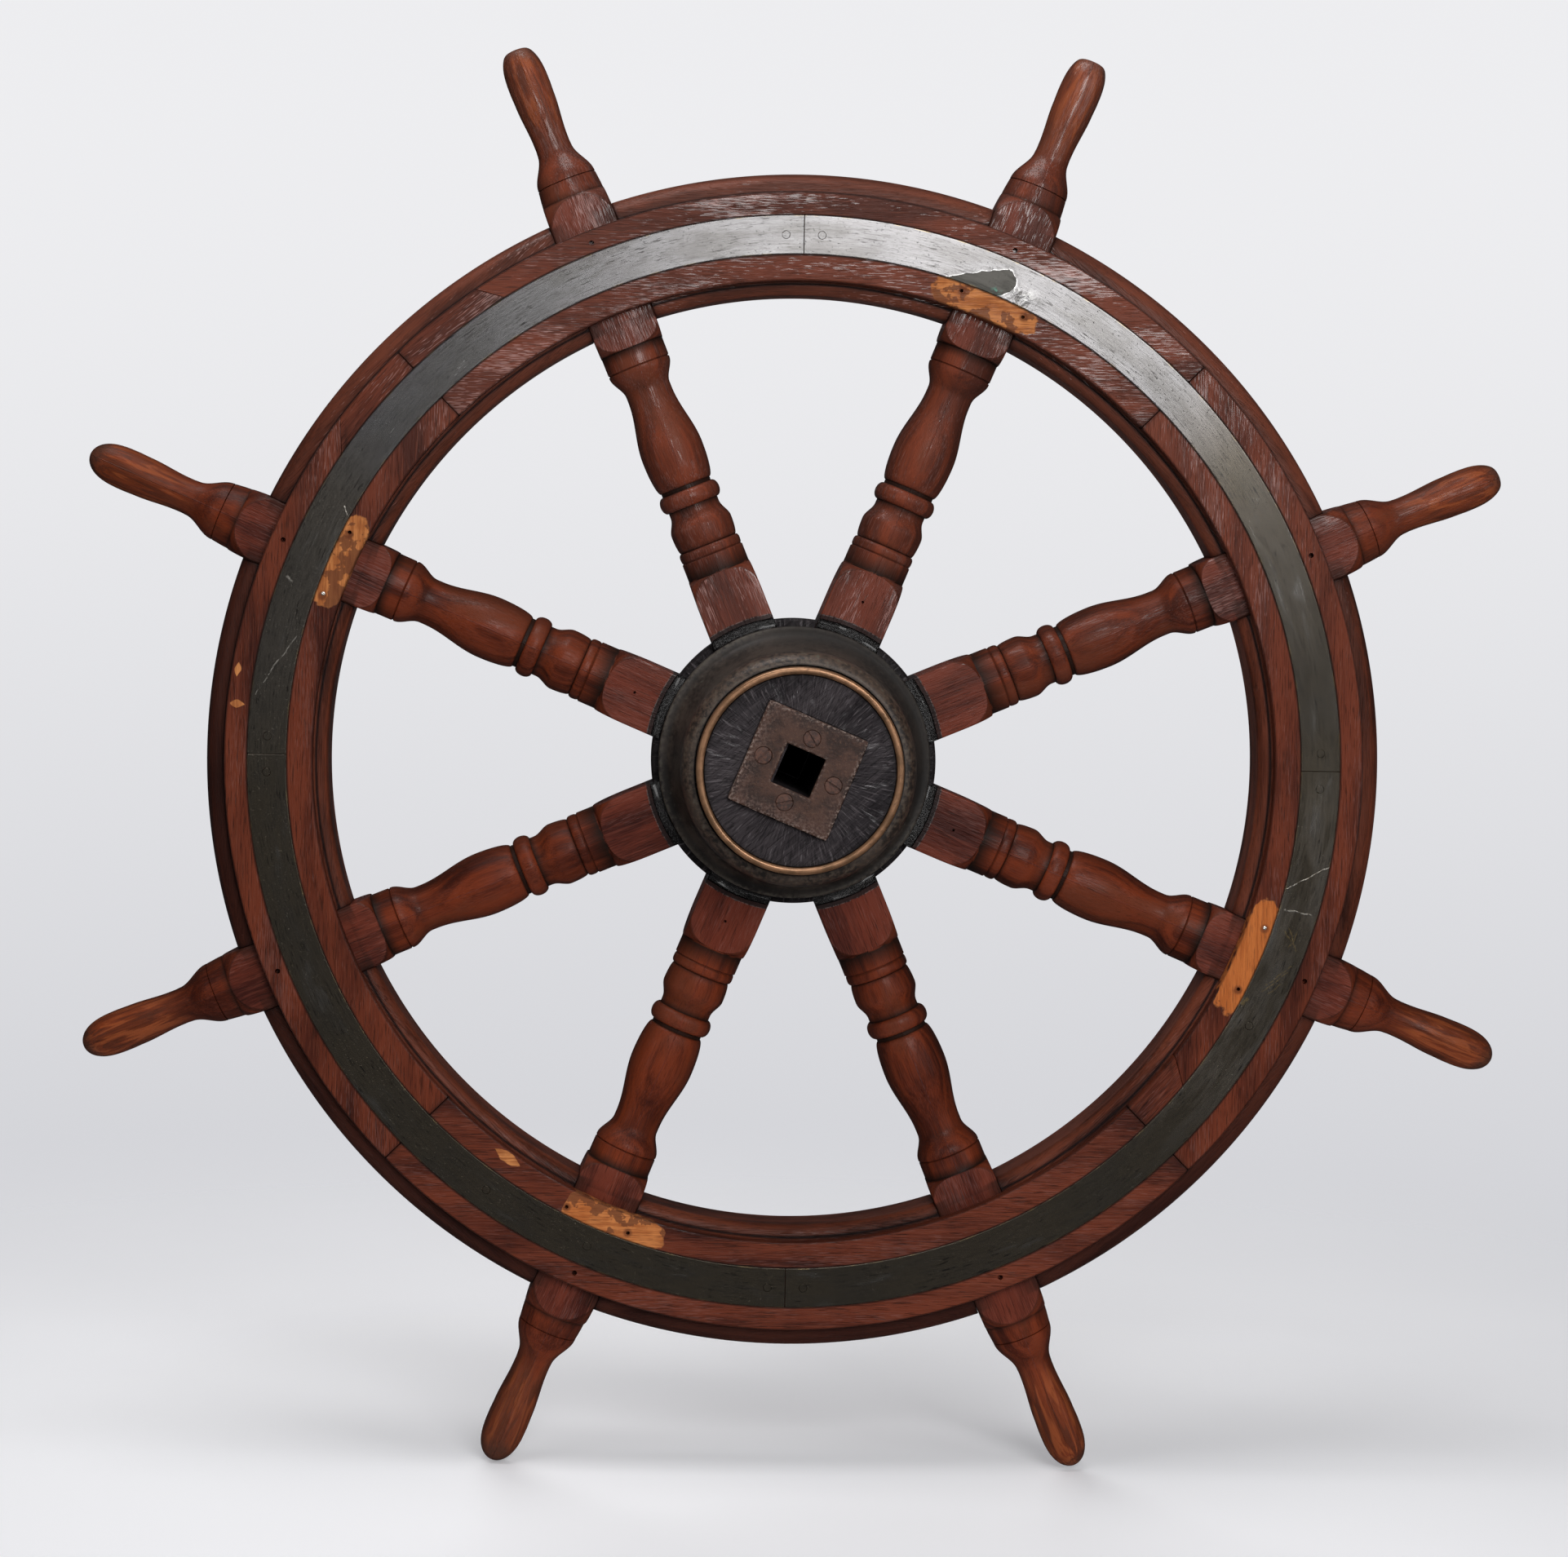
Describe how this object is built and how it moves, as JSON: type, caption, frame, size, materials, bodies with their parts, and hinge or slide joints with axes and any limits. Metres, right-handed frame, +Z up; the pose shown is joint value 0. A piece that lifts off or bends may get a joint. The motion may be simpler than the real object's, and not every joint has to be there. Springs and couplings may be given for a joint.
{
  "type": "ship steering wheel",
  "caption": "Ship's steering wheel with turned wooden spokes, a moulded rim with a flush metal band, and a long flanged hub with a square shaft hole.",
  "frame": {"origin": "centre of the wheel, where the shaft's axis crosses the middle plane of the spokes", "axes": "+Y along the shaft's axis towards the back of the wheel, so that its front faces -Y; +Z up, halfway between two handles; +X to the right as seen from the front"},
  "size_m": [1.2221, 0.31, 1.2234],
  "materials": {
    "nave_wood": "nearly black oiled end grain with radiating tool marks",
    "bell_bronze": "dark brown bronze patina, greenish and worn along the edges",
    "nose_brass": "bright worn brass with a copper tint",
    "plate_iron": "rusty brown wrought iron with pale worn edges",
    "plate_screw_iron": "rusted iron",
    "hub_bolt_bronze": "dull bronze",
    "spoke_wood": "turned red-brown hardwood under worn varnish",
    "felloe_wood": "dark stained hardwood under worn varnish",
    "facing_wood": "open-grained red-brown hardwood, worn, with bare patches",
    "patch_wood": "red-brown hardwood repair",
    "band_metal": "tarnished flat metal band, silver where it is worn bright, with brass-coloured edges",
    "pin_metal": "tarnished metal, filed flush",
    "facing_screw_steel": "plain steel",
    "plug_wood": "end-grain plug",
    "dowel_wood": "plain hardwood"
  },
  "bodies": {
    "root": {"nave_core": "nave_wood", "front_hub_flange": "bell_bronze", "rear_hub_flange": "bell_bronze", "front_nose_ring": "nose_brass", "rear_nose_ring": "nose_brass", "front_shaft_plate": "plate_iron", "rear_shaft_plate": "plate_iron", "front_plate_screws": "plate_screw_iron", "rear_plate_screws": "plate_screw_iron", "hub_bolts": "hub_bolt_bronze", "spoke_1": "spoke_wood", "spoke_2": "spoke_wood", "spoke_3": "spoke_wood", "spoke_4": "spoke_wood", "spoke_5": "spoke_wood", "spoke_6": "spoke_wood", "spoke_7": "spoke_wood", "spoke_8": "spoke_wood", "felloe_1": "felloe_wood", "felloe_2": "felloe_wood", "felloe_3": "felloe_wood", "felloe_4": "felloe_wood", "felloe_5": "felloe_wood", "felloe_6": "felloe_wood", "felloe_7": "felloe_wood", "felloe_8": "felloe_wood", "front_facing_1": "facing_wood", "front_facing_2": "facing_wood", "front_facing_3": "facing_wood", "front_facing_4": "facing_wood", "left_facing_patch": "patch_wood", "right_facing_patch": "patch_wood", "inner_facing_patch": "patch_wood", "rear_facing_1": "facing_wood", "rear_facing_2": "facing_wood", "rear_facing_3": "facing_wood", "rear_facing_4": "facing_wood", "band_1": "band_metal", "band_2": "band_metal", "band_3": "band_metal", "band_4": "band_metal", "band_pins": "pin_metal", "front_facing_screws": "facing_screw_steel", "rear_facing_screws": "facing_screw_steel", "rear_facing_plugs": "plug_wood", "felloe_dowels": "dowel_wood"}
  },
  "joints": []
}
